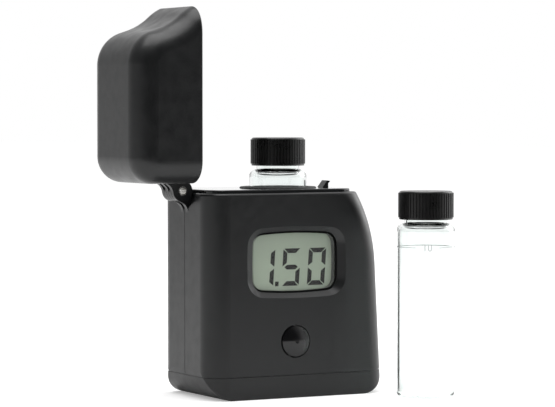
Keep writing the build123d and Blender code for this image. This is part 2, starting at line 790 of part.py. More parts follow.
def switch_body():
    """Push switch on the board, behind the button."""
    half = switch_size / 2
    body = block((button_x - half, button_x + half), (switch_front(), board_front),
                 (button_height - half, button_height + half))
    return body - cylinder_along("Y", plunger_radius + plunger_fit, switch_front() - cut_over,
                                 board_front - switch_floor, button_x, button_height)


def switch_plunger():
    """The switch's own stem, which the button pushes."""
    end = board_front - switch_floor - button_travel - plunger_spare
    return cylinder_along("Y", plunger_radius, switch_front() - plunger_proud, end, button_x, button_height)


def button_cap():
    """Domed push button with the flange that keeps it in the housing."""
    radius = button_hole_radius - button_clearance
    rim = front_face - button_proud
    flange_front = front_face + shell_wall + button_play
    flange_back = flange_front + button_flange_thickness
    flange_radius = button_hole_radius + button_flange
    stem_end = switch_front() - plunger_proud
    dome_radius = (radius ** 2 + button_dome ** 2) / (2 * button_dome)
    half_x = radius / 2
    half_rise = sqrt(dome_radius ** 2 - half_x ** 2) - (dome_radius - button_dome)
    stem_radius = plunger_radius + button_stem_margin
    outline = make_face([
        ThreePointArc((0, rim - button_dome), (half_x, rim - half_rise), (radius, rim)),
        Line((radius, rim), (radius, flange_front)),
        Line((radius, flange_front), (flange_radius, flange_front)),
        Line((flange_radius, flange_front), (flange_radius, flange_back)),
        Line((flange_radius, flange_back), (stem_radius, flange_back)),
        Line((stem_radius, flange_back), (stem_radius, stem_end)),
        Line((stem_radius, stem_end), (0, stem_end)),
        Line((0, stem_end), (0, rim - button_dome)),
    ])
    turned = revolve(outline, Axis.Y)
    return Pos(button_x, 0, button_height) * turned


def battery_cell():
    """One small round cell lying across the base, its nub to the right."""
    can = cylinder_along("X", cell_radius, cell_start, cell_end - cell_nub, 0, cell_z)
    can = fillet(can.edges(), cell_edge)
    return can + cylinder_along("X", cell_nub_radius, cell_x, cell_end, 0, cell_z)


def battery_spring():
    """Bent leaf that presses on the flat end of the cell."""
    back = spring_back + contact_thickness
    low = base_floor + contact_foot
    high = cell_z + contact_reach
    slope = contact_leaf / contact_reach
    outline = Polyline(
        (spring_back, low), (back, low), (back, high - 2 * contact_thickness / slope),
        (cell_start, cell_z - contact_thickness), (cell_start, cell_z), (spring_back, high), close=True)
    return extrude(Plane.XZ * make_face(outline), amount=contact_width / 2, both=True)


def battery_plate():
    """Flat contact at the nub end of the cell."""
    return block((cell_end, cell_end + contact_thickness), (-contact_width / 2, contact_width / 2),
                 (base_floor + contact_foot, cell_z + contact_reach))


def traced(start, heading, steps, inset):
    """Edges of a smooth outline traced from start, kept inset to the left of the drawn path.

    Each step is a straight run, or a turn in degrees (left is positive) with its radius.
    """
    angle = radians(heading)
    here = Vector(*start) + Vector(-sin(angle), cos(angle)) * inset
    edges = []
    for run, turn, radius in steps:
        ahead = Vector(cos(angle), sin(angle))
        left = Vector(-sin(angle), cos(angle))
        if turn == 0:
            there = here + ahead * run
            edges.append(Line((here.X, here.Y), (there.X, there.Y)))
        else:
            side = 1 if turn > 0 else -1
            reduced = radius - side * inset
            centre = here + left * side * reduced
            half = angle + radians(turn) / 2
            angle += radians(turn)
            middle = centre - Vector(-sin(half), cos(half)) * side * reduced
            there = centre - Vector(-sin(angle), cos(angle)) * side * reduced
            edges.append(ThreePointArc((here.X, here.Y), (middle.X, middle.Y), (there.X, there.Y)))
        here = there
    return edges


def lid_profile(inset):
    """Front view of the closed lid, moved inwards by inset and drawn on below its rim."""
    tip, steep, upper = radians(tip_lean), radians(scoop_lean), radians(upper_lean)
    foot = (lid_tip + lid_skirt * tan(tip), lid_rim - lid_skirt)
    scoop_run = scoop_swell_radius * (cos(tip) - cos(steep)) + scoop_hollow_radius * (cos(upper) - cos(steep))
    crest_run = scoop_upper_rise * tan(upper) + lid_front_radius * cos(upper)
    top_length = lid_tip - scoop_run - crest_run - (hinge_side + lid_back_radius)
    edges = traced(foot, 90 + tip_lean, [
        (lid_skirt / cos(tip), 0, 0),
        (0, scoop_lean - tip_lean, scoop_swell_radius),
        (0, upper_lean - scoop_lean, scoop_hollow_radius),
        (scoop_upper_rise / cos(upper), 0, 0),
        (0, 90 - upper_lean, lid_front_radius),
        (top_length, 0, 0),
        (0, 90, lid_back_radius),
        (lid_height - lid_back_radius + lid_skirt, 0, 0),
    ], inset)
    edges.append(Line(edges[-1] @ 1, edges[0] @ 0))
    return front_view(edges)


def lid_block(inset):
    """Solid of the lid's outside, or of its hollow when inset is the wall."""
    half_depth = housing_depth / 2 - inset
    solid = extrude(lid_profile(inset), amount=half_depth, both=True)
    rounded = []
    for edge in solid.edges():
        on_face = abs(abs(edge.center().Y) - half_depth) < 0.001
        if on_face and edge.center().Z > lid_rim - lid_skirt + cut_skin:
            rounded.append(edge)
    return fillet(rounded, corner_radius - inset)


def opened(shape):
    """The closed lid's pieces, turned to stand open."""
    return shape.rotate(Axis((axis_x, 0, axis_z), (0, 1, 0)), -closed_to_open)


def lid_shell():
    outside = lid_block(0) & slab(lid_rim, lid_top)
    outside = fillet(outside.faces().sort_by(Axis.Z)[0].edges(), lid_edge)
    lid = outside - lid_block(lid_wall)
    lid -= lid_block(deck_inset - lid_lip_clearance) & slab(lid_rim, lid_rim + lid_lip_height)
    rib_face = deck_free_end() - hook_from_lip + hook_barb + catch_clearance
    rib_top = hook_top - hook_barb_height
    rib = block((rib_face, lid_tip), (-hook_width, hook_width), (rib_top - catch_height, rib_top))
    lid += rib & outside
    room_half_width = hook_width / 2 + catch_clearance
    lid -= block((0, rib_face), (-room_half_width, room_half_width), (rib_top, hook_top + catch_clearance))
    spans = knuckle_spans()
    for index in (0, 2, 4):
        lid += knuckle(spans[index], 1, lid_wall / 2, pin_radius + pin_fit_in_lid)
    for index in (1, 3):
        lid -= knuckle_sweep(spans[index])
    return lid


def hinge_pin():
    """Hollow steel pin, held in the lid's knuckles."""
    half = barrel_length / 2
    pin = cylinder_along("Y", pin_radius, -half, half, axis_x, axis_z)
    return pin - cylinder_along("Y", pin_bore_radius, -half, half, axis_x, axis_z)


def vial_glass():
    """Round glass vial with its shoulder and open neck, standing on the origin."""
    cap_bottom = vial_height - cap_height
    shoulder = cap_bottom - cap_over_shoulder
    mouth = vial_height - cap_top - liner_thickness - liner_gap
    inner = vial_radius - vial_wall
    inner_shoulder = shoulder - vial_wall
    neck_inner = neck_radius - neck_wall
    soft = shoulder_radius - vial_wall / 2
    outline = make_face([
        Line((0, 0), (vial_radius - vial_foot_radius, 0)),
        RadiusArc((vial_radius - vial_foot_radius, 0), (vial_radius, vial_foot_radius), -vial_foot_radius),
        Line((vial_radius, vial_foot_radius), (vial_radius, shoulder - shoulder_radius)),
        RadiusArc((vial_radius, shoulder - shoulder_radius), (vial_radius - shoulder_radius, shoulder),
                  -shoulder_radius),
        Line((vial_radius - shoulder_radius, shoulder), (neck_root, shoulder)),
        Line((neck_root, shoulder), (neck_root, mouth)),
        Line((neck_root, mouth), (neck_inner, mouth)),
        Line((neck_inner, mouth), (neck_inner, inner_shoulder)),
        Line((neck_inner, inner_shoulder), (inner - soft, inner_shoulder)),
        RadiusArc((inner - soft, inner_shoulder), (inner, inner_shoulder - soft), soft),
        Line((inner, inner_shoulder - soft), (inner, vial_floor + vial_inner_foot)),
        RadiusArc((inner, vial_floor + vial_inner_foot), (inner - vial_inner_foot, vial_floor), vial_inner_foot),
        Line((inner - vial_inner_foot, vial_floor), (0, vial_floor)),
        Line((0, vial_floor), (0, 0)),
    ])
    return revolve(Plane.XZ * outline, Axis.Z)


def vial_liner():
    """Soft disc under the cap's top."""
    mouth = vial_height - cap_top - liner_thickness
    return cylinder_along("Z", neck_root, mouth, vial_height - cap_top - liner_gap, 0, 0)


def vial_cap():
    """Screw cap with fine upright ribs."""
    bottom = vial_height - cap_height
    core = Pos(0, 0, vial_height - cap_height / 2) * Cylinder(cap_radius - cap_rib_depth, cap_height)
    core = fillet(core.edges().group_by(Axis.Z)[-1], cap_edge)
    pitch = 360 / cap_rib_count
    valley = cap_radius - cap_rib_depth
    root = valley - cap_rib_root
    points = []
    for index in range(cap_rib_count):
        for share, radius in ((0.0, root), (0.25, cap_radius), (0.65, cap_radius), (0.9, root)):
            angle = radians((index + share) * pitch)
            points.append((radius * cos(angle), radius * sin(angle)))
    ribs = extrude(make_face(Polyline(*points, close=True)), amount=cap_height - 2 * cap_plain_band)
    cap = core + Pos(0, 0, bottom + cap_plain_band) * ribs
    room = neck_radius + cap_clearance
    return cap - cylinder_along("Z", room, bottom - cut_over, vial_height - cap_top, 0, 0)


def in_well(shape):
    return Pos(vial_x, 0, well_floor_height) * shape


def beside(shape):
    return Pos(spare_x, spare_y, 0) * shape


def build_all():
    """Every piece by its name."""
    glass = vial_glass()
    liner = vial_liner()
    cap = vial_cap()
    return {
        "front_shell": front_shell(),
        "rear_shell": rear_shell(),
        "base_cover": base_cover(),
        "base_seal": base_seal(),
        "base_screws": base_screws(),
        "housing_screws": housing_screws(),
        "deck_plate": deck_plate(),
        "well_collar": well_collar(),
        "latch_hook": latch_hook(),
        "cuvette_holder": cuvette_holder(),
        "lamp": lamp(),
        "optical_filter": optical_filter(),
        "detector": detector(),
        "window_lens": window_lens(),
        "display_panel": display_panel(),
        "contact_strips": contact_strips(),
        "circuit_board": circuit_board(),
        "switch_body": switch_body(),
        "switch_plunger": switch_plunger(),
        "button_cap": button_cap(),
        "battery_cell": battery_cell(),
        "battery_spring": battery_spring(),
        "battery_plate": battery_plate(),
        "lid_shell": opened(lid_shell()),
        "hinge_pin": opened(hinge_pin()),
        "vial_glass": in_well(glass),
        "vial_liner": in_well(liner),
        "vial_cap": in_well(cap),
        "spare_glass": beside(glass),
        "spare_liner": beside(liner),
        "spare_cap": beside(cap),
    }


os.makedirs("parts", exist_ok=True)
for name, piece in build_all().items():
    export_step(piece, f"parts/{name}.step")
    print(name, round(piece.volume, 2))
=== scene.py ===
# %% [markdown]
# # A pocket chlorine meter, dressed for its portrait
# The construction of the meter comes in as a fixed frame: every housing part, screw and vial is already at
# its real size and place. This lesson gives each of them its real finish, adds what a construction model
# leaves out, such as the digits and the printed ring on the vials, and builds the small studio around it.

# %% Load the frame
import bpy
from math import cos, pi, radians, sin, tan
from mathutils import Matrix, Vector


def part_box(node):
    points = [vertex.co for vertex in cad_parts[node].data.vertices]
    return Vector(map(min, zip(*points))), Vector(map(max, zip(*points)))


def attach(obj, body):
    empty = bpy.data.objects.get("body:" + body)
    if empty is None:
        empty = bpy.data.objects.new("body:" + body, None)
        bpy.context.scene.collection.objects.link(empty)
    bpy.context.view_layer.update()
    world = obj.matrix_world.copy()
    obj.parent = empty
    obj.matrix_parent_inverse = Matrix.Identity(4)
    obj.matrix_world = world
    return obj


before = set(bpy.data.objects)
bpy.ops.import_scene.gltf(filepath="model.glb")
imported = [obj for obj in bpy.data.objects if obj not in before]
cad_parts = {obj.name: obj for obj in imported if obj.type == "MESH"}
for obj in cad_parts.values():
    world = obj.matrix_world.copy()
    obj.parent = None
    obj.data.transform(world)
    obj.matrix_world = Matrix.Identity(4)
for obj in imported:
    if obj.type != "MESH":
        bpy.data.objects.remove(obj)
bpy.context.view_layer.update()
bpy.ops.object.select_all(action="DESELECT")
MM = 0.001
print("nodes in the frame:", len(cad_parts))

# %% [markdown]
# ## The camera
# The photograph was taken with a long lens from a little above the lid's hinge side. A long lens hardly
# shrinks what is further away, which is why the upright edges of the housing look parallel. The camera is
# placed by its turn around the meter, its dip and its distance, all found by fitting the housing's edges.

# %% Place the camera
PHOTO_WIDTH = 555
FOCAL_PIXELS = 2600
SENSOR = 36.0
YAW = radians(28.101)
DIP = radians(2.093)
DISTANCE = 818.767 * MM
AIM_HEIGHT = 40 * MM
SHIFT_RIGHT = 1.125 * MM
SHIFT_UP = 19.501 * MM

forward = Vector((sin(YAW) * cos(DIP), cos(YAW) * cos(DIP), -sin(DIP)))
to_right = Vector((cos(YAW), -sin(YAW), 0))
to_top = to_right.cross(forward)
camera_data = bpy.data.cameras.new("portrait_camera")
camera_data.sensor_width = SENSOR
camera_data.lens = SENSOR * FOCAL_PIXELS / PHOTO_WIDTH
camera_data.clip_start = 0.01
camera_data.clip_end = 20
camera = bpy.data.objects.new("portrait_camera", camera_data)
bpy.context.scene.collection.objects.link(camera)
turn = Matrix((to_right, to_top, -forward)).transposed().to_4x4()
place = Vector((0, 0, AIM_HEIGHT)) + to_right * SHIFT_RIGHT + to_top * SHIFT_UP - forward * DISTANCE
camera.matrix_world = Matrix.Translation(place) @ turn
bpy.context.scene.camera = camera
print("lens in mm:", round(camera_data.lens, 1), "camera at", [round(v, 3) for v in place])

# %% [markdown]
# ## Two small helpers for materials
# Colours are written as sRGB hex values, the way a paint chart or a colour picker gives them, but the
# renderer works in linear light, so one function turns them over. A second one adds a node with its settings
# and its links, so that each finish below reads as a short recipe.

# %% Colour and node helpers
def linear(hex_colour, alpha=1.0):
    """Linear RGBA of an sRGB hex colour."""
    values = [int(hex_colour[i:i + 2], 16) / 255 for i in (1, 3, 5)]
    return tuple(v / 12.92 if v <= 0.04045 else ((v + 0.055) / 1.055) ** 2.4 for v in values) + (alpha,)


def add(tree, kind, links=None, values=None, **settings):
    """Adds a node, sets its properties and input values, and links its inputs."""
    node = tree.nodes.new(kind)
    for name, value in settings.items():
        setattr(node, name, value)
    for name, value in (values or {}).items():
        node.inputs[name].default_value = value
    for name, socket in (links or {}).items():
        tree.links.new(socket, node.inputs[name])
    return node


def blank_material(name):
    """An empty material and its node tree, with only an output."""
    material = bpy.data.materials.new(name)
    material.use_nodes = True
    tree = material.node_tree
    tree.nodes.clear()
    output = tree.nodes.new("ShaderNodeOutputMaterial")
    return material, tree, output


def scale_for(size_mm):
    """Texture scale, per metre of object space, whose features are about this large."""
    return 1 / (size_mm * MM)


print("mid grey in linear light:", round(linear("#808080")[0], 3))

# %% [markdown]
# ## Moulded plastic
# Most of the meter is ABS, a tough styrene plastic moulded against steel. The mould decides the finish. Where
# the steel was spark-eroded the plastic has a fine matt grain, where it was polished it shines. One recipe
# covers both: a dark base colour, a grain for the bump, and a slower noise that makes the roughness uneven.
# The housing's grain is drawn at 0.35 mm, coarser than such grain is, because a finer one is lost at this
# picture's size.

# %% Recipe for moulded plastic
NOISE_LOW = 0.3
NOISE_HIGH = 0.7


def moulded_plastic(name, colour, roughness, grain_mm, grain_height, shade=0.12, spread=0.05, ior=1.5):
    """Injection-moulded plastic with mould grain, uneven gloss and a faint drift of its colour."""
    material, tree, output = blank_material(name)
    place = add(tree, "ShaderNodeTexCoord").outputs["Object"]
    drift = add(tree, "ShaderNodeTexNoise", {"Vector": place}, {"Scale": scale_for(22), "Detail": 2.0})
    dark = tuple(c * (1 - shade) for c in linear(colour)[:3]) + (1.0,)
    tone = add(tree, "ShaderNodeMix", {"Factor": drift.outputs["Fac"]}, data_type="RGBA")
    tone.inputs[6].default_value = dark
    tone.inputs[7].default_value = linear(colour)
    patches = add(tree, "ShaderNodeTexNoise", {"Vector": place}, {"Scale": scale_for(3.5), "Detail": 4.0})
    gloss = add(tree, "ShaderNodeMapRange", {"Value": patches.outputs["Fac"]},
                {"From Min": NOISE_LOW, "From Max": NOISE_HIGH,
                 "To Min": roughness - spread, "To Max": roughness + spread})
    grain = add(tree, "ShaderNodeTexNoise", {"Vector": place}, {"Scale": scale_for(grain_mm), "Detail": 3.0})
    bump = add(tree, "ShaderNodeBump", {"Height": grain.outputs["Fac"]},
               {"Distance": grain_height * MM, "Strength": 1.0})
    shader = add(tree, "ShaderNodeBsdfPrincipled",
                 {"Base Color": tone.outputs[2], "Roughness": gloss.outputs["Result"],
                  "Normal": bump.outputs["Normal"]}, {"IOR": ior})
    tree.links.new(shader.outputs["BSDF"], output.inputs["Surface"])
    return material


satin_abs = moulded_plastic("satin charcoal ABS", "#111213", 0.34, 0.35, 0.006)
polished_abs = moulded_plastic("polished dark grey ABS", "#18191a", 0.07, 0.8, 0.001, spread=0.02)
matt_nylon = moulded_plastic("matt black nylon", "#141414", 0.6, 0.3, 0.02)
button_abs = moulded_plastic("polished black ABS", "#0d0d0e", 0.12, 0.9, 0.001, spread=0.03)
cap_phenolic = moulded_plastic("black ribbed phenolic", "#090909", 0.3, 0.4, 0.004)
liner_foam = moulded_plastic("white foamed polyethylene", "#e9e9e4", 0.7, 0.3, 0.02, shade=0.05)
seal_rubber = moulded_plastic("black silicone rubber", "#0c0c0c", 0.75, 0.4, 0.01)
print("plastics:", [m.name for m in (satin_abs, polished_abs, matt_nylon, button_abs, cap_phenolic)])

# %% [markdown]
# ## Clear things
# The window is cast acrylic and the vials are borosilicate glass. Both are smooth and clear, so the whole
# look is refraction and the reflections at their edges. Light from a lamp can't find its way through a
# refracting wall by chance, so rays that only ask for light are let straight through, and what stands behind
# the glass stays as bright as it would be.

# %% Recipe for clear material
def clear_material(name, colour, ior, roughness=0.0):
    """Clear solid that refracts what is behind it and lets lamp light through."""
    material, tree, output = blank_material(name)
    shader = add(tree, "ShaderNodeBsdfPrincipled", None,
                 {"Base Color": linear(colour), "Roughness": roughness, "IOR": ior,
                  "Transmission Weight": 1.0})
    through = add(tree, "ShaderNodeBsdfTransparent", None, {"Color": linear(colour)})
    path = add(tree, "ShaderNodeLightPath")
    both = add(tree, "ShaderNodeMixShader", {"Fac": path.outputs["Is Shadow Ray"]})
    tree.links.new(shader.outputs["BSDF"], both.inputs[1])
    tree.links.new(through.outputs["BSDF"], both.inputs[2])
    tree.links.new(both.outputs["Shader"], output.inputs["Surface"])
    return material


clear_acrylic = clear_material("clear cast acrylic", "#fbfcfb", 1.49)
vial_borosilicate = clear_material("borosilicate glass", "#f8fbfa", 1.47)
lamp_epoxy = clear_material("water-clear epoxy", "#e4f4e6", 1.5, 0.08)
green_filter = clear_material("green filter glass", "#3fb463", 1.52)
print("clear materials:", clear_acrylic.name, vial_borosilicate.name, lamp_epoxy.name, green_filter.name)

# %% [markdown]
# ## Metal
# The hinge pin is rolled stainless strip, the screws are zinc-plated and the battery contacts are nickel on
# spring steel. A metal shows almost only what it reflects, so its colour is its reflection's tint and its
# scratches decide the rest. Rolling and drawing leave fine lines along the work, drawn here by a noise that
# is stretched along one axis.

# %% Recipe for worked metal
def worked_metal(name, colour, roughness, line_mm, along):
    """Metal with fine working lines along X, Y or Z."""
    material, tree, output = blank_material(name)
    place = add(tree, "ShaderNodeTexCoord").outputs["Object"]
    stretch = [1.0, 1.0, 1.0]
    stretch["XYZ".index(along)] = 0.04
    drawn = add(tree, "ShaderNodeMapping", {"Vector": place}, {"Scale": stretch})
    lines = add(tree, "ShaderNodeTexNoise", {"Vector": drawn.outputs["Vector"]},
                {"Scale": scale_for(line_mm), "Detail": 4.0})
    gloss = add(tree, "ShaderNodeMapRange", {"Value": lines.outputs["Fac"]},
                {"From Min": NOISE_LOW, "From Max": NOISE_HIGH,
                 "To Min": roughness * 0.7, "To Max": roughness * 1.3})
    bump = add(tree, "ShaderNodeBump", {"Height": lines.outputs["Fac"]}, {"Distance": 0.004 * MM})
    shader = add(tree, "ShaderNodeBsdfPrincipled",
                 {"Roughness": gloss.outputs["Result"], "Normal": bump.outputs["Normal"]},
                 {"Base Color": linear(colour), "Metallic": 1.0})
    tree.links.new(shader.outputs["BSDF"], output.inputs["Surface"])
    return material


rolled_stainless = worked_metal("rolled stainless steel", "#cfcecb", 0.22, 0.12, "Y")
zinc_plate = worked_metal("zinc-plated steel", "#b9bcbf", 0.35, 0.2, "Z")
nickel_strip = worked_metal("nickel-plated spring strip", "#c9c2b4", 0.25, 0.15, "Z")
tinned_can = worked_metal("tinned steel can", "#bfc0c0", 0.3, 0.2, "X")
cell_sleeve = worked_metal("aluminium foil sleeve", "#a9abaf", 0.3, 0.4, "X")
print("metals:", [m.name for m in (rolled_stainless, zinc_plate, nickel_strip, tinned_can, cell_sleeve)])

# %% [markdown]
# ## The display's sandwich
# A reflective liquid crystal panel is two sheets of glass with a grey-green polariser on a brushed foil. The
# foil scatters light evenly, so the panel looks like fine paper under a thin gloss. The contact strips behind
# it are rubber with black conducting layers. The real layers are 0.18 mm apart. They are drawn at 0.9 mm, so
# that they show. The circuit board is glass laminate under green lacquer, with copper tracks that shine
# through as lighter lines.

# %% Display, strips and circuit board
def display_film(name, colour, other):
    """Reflective display panel: a scattering foil with a slow cloud, under clear gloss."""
    material, tree, output = blank_material(name)
    place = add(tree, "ShaderNodeTexCoord").outputs["Object"]
    cloud = add(tree, "ShaderNodeTexNoise", {"Vector": place}, {"Scale": scale_for(9), "Detail": 1.0})
    sparkle = add(tree, "ShaderNodeTexNoise", {"Vector": place}, {"Scale": scale_for(0.12), "Detail": 2.0})
    share = add(tree, "ShaderNodeMix", None, {"Factor": 0.35})
    tree.links.new(cloud.outputs["Fac"], share.inputs["A"])
    tree.links.new(sparkle.outputs["Fac"], share.inputs["B"])
    tone = add(tree, "ShaderNodeMix", {"Factor": share.outputs["Result"]}, data_type="RGBA")
    tone.inputs[6].default_value = linear(colour)
    tone.inputs[7].default_value = linear(other)
    shader = add(tree, "ShaderNodeBsdfPrincipled", {"Base Color": tone.outputs[2]},
                 {"Roughness": 0.5, "Coat Weight": 0.4, "Coat Roughness": 0.05})
    tree.links.new(shader.outputs["BSDF"], output.inputs["Surface"])
    return material


def striped_rubber(name, light, dark, pitch_mm):
    """Contact strip: rubber with conducting layers across its length."""
    material, tree, output = blank_material(name)
    place = add(tree, "ShaderNodeTexCoord").outputs["Object"]
    bands = add(tree, "ShaderNodeTexWave", {"Vector": place}, {"Scale": scale_for(pitch_mm) / (2 * pi)})
    tone = add(tree, "ShaderNodeMix", {"Factor": bands.outputs["Fac"]}, data_type="RGBA")
    tone.inputs[6].default_value = linear(light)
    tone.inputs[7].default_value = linear(dark)
    shader = add(tree, "ShaderNodeBsdfPrincipled", {"Base Color": tone.outputs[2]}, {"Roughness": 0.7})
    tree.links.new(shader.outputs["BSDF"], output.inputs["Surface"])
    return material


def lacquered_laminate(name, lacquer, track, track_mm):
    """Circuit board: green lacquer over copper tracks laid out on a grid."""
    material, tree, output = blank_material(name)
    place = add(tree, "ShaderNodeTexCoord").outputs["Object"]
    upright = add(tree, "ShaderNodeMapping", {"Vector": place}, {"Rotation": (radians(90), 0, 0)})
    grid = add(tree, "ShaderNodeTexBrick", {"Vector": upright.outputs["Vector"]},
               {"Scale": scale_for(track_mm) / 10, "Mortar Size": 0.06, "Brick Width": 0.9, "Row Height": 0.3,
                "Color1": linear(lacquer), "Color2": linear(lacquer), "Mortar": linear(track)})
    bump = add(tree, "ShaderNodeBump", {"Height": grid.outputs["Fac"]}, {"Distance": 0.03 * MM})
    shader = add(tree, "ShaderNodeBsdfPrincipled",
                 {"Base Color": grid.outputs["Color"], "Normal": bump.outputs["Normal"]}, {"Roughness": 0.3})
    tree.links.new(shader.outputs["BSDF"], output.inputs["Surface"])
    return material


display_panel = display_film("reflective display film", "#a9b6a2", "#a1af9c")
zebra_rubber = striped_rubber("layered contact rubber", "#b98f93", "#1a1a1a", 0.9)
board_laminate = lacquered_laminate("green lacquered laminate", "#0f4a28", "#3f8a4e", 1.1)
print("display:", display_panel.name, "strips:", zebra_rubber.name, "board:", board_laminate.name)

# %% [markdown]
# ## Dressing the frame's own parts
# A part whose shape is right keeps it and only gets its finish. The table below is the meter's bill of
# finishes, and every part in the frame has to be in it.

# %% Give each part its finish
FINISHES = {
    satin_abs: ["front_shell", "rear_shell", "base_cover", "lid_shell"],
    polished_abs: ["deck_plate", "latch_hook"],
    matt_nylon: ["well_collar", "cuvette_holder", "switch_body", "switch_plunger"],
    button_abs: ["button_cap"],
    clear_acrylic: ["window_lens"],
    display_panel: ["display_panel"],
    zebra_rubber: ["contact_strips"],
    board_laminate: ["circuit_board"],
    rolled_stainless: ["hinge_pin"],
    zinc_plate: ["base_screws", "housing_screws"],
    nickel_strip: ["battery_spring", "battery_plate"],
    cell_sleeve: ["battery_cell"],
    tinned_can: ["detector"],
    lamp_epoxy: ["lamp"],
    green_filter: ["optical_filter"],
    seal_rubber: ["base_seal"],
    vial_borosilicate: ["vial_glass", "spare_glass"],
    cap_phenolic: ["vial_cap", "spare_cap"],
    liner_foam: ["vial_liner", "spare_liner"],
}
dressed = set()
for finish, names in FINISHES.items():
    for name in names:
        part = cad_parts[name]
        for part_slot in part.material_slots:
            part_slot.material = finish
        dressed.add(name)
print("parts without a finish:", sorted(set(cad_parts) - dressed))

# %% [markdown]
# ## Modelling by hand
# The added pieces are modelled as at the desk: a primitive is placed, edit mode reshapes it, and modifiers
# finish it. Three helpers keep that short. One starts a piece from a primitive, one selects points by where
# they are, and one settles the finished piece into the shared frame.

# %% Modelling helpers
def start_piece(name, operator, **settings):
    """Adds a primitive as a new object, alone in the selection."""
    bpy.ops.object.select_all(action="DESELECT")
    operator(**settings)
    piece = bpy.context.object
    piece.name = name
    return piece


def select_points(piece, test):
    """In edit mode, selects just the points whose place passes the test."""
    bpy.ops.object.mode_set(mode="OBJECT")
    for point in piece.data.vertices:
        point.select = test(point.co)
    for edge in piece.data.edges:
        edge.select = all(piece.data.vertices[i].select for i in edge.vertices)
    for face in piece.data.polygons:
        face.select = all(piece.data.vertices[i].select for i in face.vertices)
    bpy.ops.object.mode_set(mode="EDIT")


def finish_modifiers(piece):
    """Applies the piece's modifiers, top to bottom."""
    bpy.ops.object.select_all(action="DESELECT")
    piece.select_set(True)
    bpy.context.view_layer.objects.active = piece
    for name in [m.name for m in piece.modifiers]:
        bpy.ops.object.modifier_apply(modifier=name)


def settle(piece, material, body):
    """Bakes the piece's place into its mesh, gives it its finish and fixes it to its body."""
    piece.data.transform(piece.matrix_world)
    piece.matrix_world = Matrix.Identity(4)
    piece.data.materials.clear()
    piece.data.materials.append(material)
    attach(piece, body)
    return piece


print("helpers ready")

# %% [markdown]
# ## The reading
# The panel shows a reading in seven-segment digits, printed as clear electrodes on the glass and black where
# they are switched on. The segments are mitred bars: the four uprights and the two end bars are trapezoids
# whose long side faces out, and the middle bar is pointed at both ends. One bar of each kind is modelled,
# copied to its places, leaned a few degrees as such digits are, and joined into one plate of digits.

# %% Segment sizes
DIGIT_WIDTH = 6.15 * MM
DIGIT_HEIGHT = 11.6 * MM
DIGIT_PITCH = 9.0 * MM
STROKE = 1.45 * MM
SEGMENT_GAP = 0.28 * MM
SEGMENT_THICKNESS = 0.02 * MM
DIGIT_LEAN = radians(4.0)
READING_X = -1.2 * MM
READING_HEIGHT = 40.25 * MM
DOT_SIZE = (1.25 * MM, 1.45 * MM)
DOT_BACK = 0.15
LIT = {
    "0": "top upper_left upper_right lower_left lower_right bottom",
    "1": "upper_right lower_right",
    "5": "top upper_left middle lower_right bottom",
}
print("digit", round(DIGIT_WIDTH / MM, 2), "by", round(DIGIT_HEIGHT / MM, 2), "mm")


# %% Model the bars
def bar(name, length, inner_length, pointed=False):
    """A flat bar lying along X: its inner side, or both its ends when pointed, is drawn in."""
    piece = start_piece(name, bpy.ops.mesh.primitive_cube_add, size=1)
    bpy.ops.object.mode_set(mode="EDIT")
    bpy.ops.mesh.select_all(action="SELECT")
    bpy.ops.transform.resize(value=(length, SEGMENT_THICKNESS, STROKE))
    if pointed:
        bpy.ops.mesh.bisect(plane_co=(0, 0, 0), plane_no=(0, 0, 1))
        select_points(piece, lambda p: abs(p.z) > STROKE / 4)
    else:
        select_points(piece, lambda p: p.z < 0)
    bpy.ops.transform.resize(value=(inner_length / length, 1, 1))
    bpy.ops.object.mode_set(mode="OBJECT")
    return piece


half_height = DIGIT_HEIGHT / 2
end_bar = bar("end_bar", DIGIT_WIDTH - 2 * SEGMENT_GAP, DIGIT_WIDTH - 2 * STROKE - 2 * SEGMENT_GAP)
upright_length = half_height - SEGMENT_GAP
side_bar = bar("side_bar", upright_length - SEGMENT_GAP, upright_length - 1.5 * STROKE - SEGMENT_GAP)
middle_bar = bar("middle_bar", DIGIT_WIDTH - STROKE, DIGIT_WIDTH - 2 * STROKE - SEGMENT_GAP, pointed=True)
print("bars modelled:", end_bar.name, side_bar.name, middle_bar.name)

# %% Lay out the digits
edge_x = DIGIT_WIDTH / 2 - STROKE / 2
edge_z = half_height - STROKE / 2
side_z = half_height / 2
SEGMENT_PLACES = {
    "top": (end_bar, 0, (0, edge_z)),
    "bottom": (end_bar, 180, (0, -edge_z)),
    "middle": (middle_bar, 0, (0, 0)),
    "upper_left": (side_bar, 90, (-edge_x, side_z)),
    "lower_left": (side_bar, 90, (-edge_x, -side_z)),
    "upper_right": (side_bar, -90, (edge_x, side_z)),
    "lower_right": (side_bar, -90, (edge_x, -side_z)),
}


def lit_segments(digit, centre_x):
    """Copies of the bars that are on in one digit, in the panel's plane."""
    made = []
    for name in LIT[digit].split():
        source, spin, (x, z) = SEGMENT_PLACES[name]
        piece = source.copy()
        piece.data = source.data.copy()
        bpy.context.scene.collection.objects.link(piece)
        spin_matrix = Matrix.Rotation(radians(-spin), 4, "Y")
        piece.data.transform(Matrix.Translation((centre_x + x, 0, z)) @ spin_matrix)
        made.append(piece)
    return made


